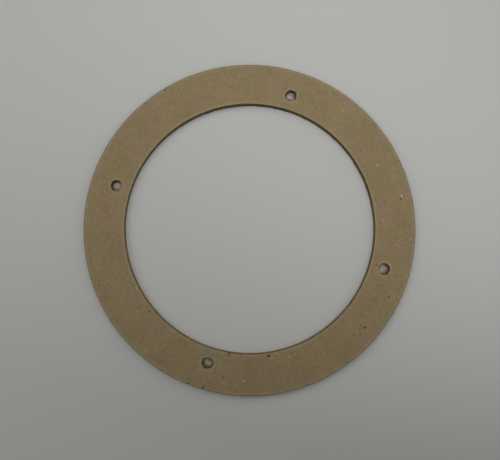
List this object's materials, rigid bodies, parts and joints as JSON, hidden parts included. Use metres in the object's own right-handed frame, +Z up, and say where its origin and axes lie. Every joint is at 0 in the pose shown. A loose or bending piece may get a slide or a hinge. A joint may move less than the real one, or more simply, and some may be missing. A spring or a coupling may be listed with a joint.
{
  "type": "heater burner gasket",
  "caption": "Flat round flange gasket of tan heat-proof fibre board, with a large bore for a burner tube and small bolt holes evenly spaced round it.",
  "frame": {"origin": "centre of the ring on its lower face", "axes": "+Z up through the sheet along the bore axis; +X and +Y each point at a bolt hole"},
  "size_m": [0.2, 0.2, 0.003],
  "materials": {
    "millboard": "matte"
  },
  "bodies": {
    "root": {"gasket_ring": "millboard"}
  },
  "joints": []
}
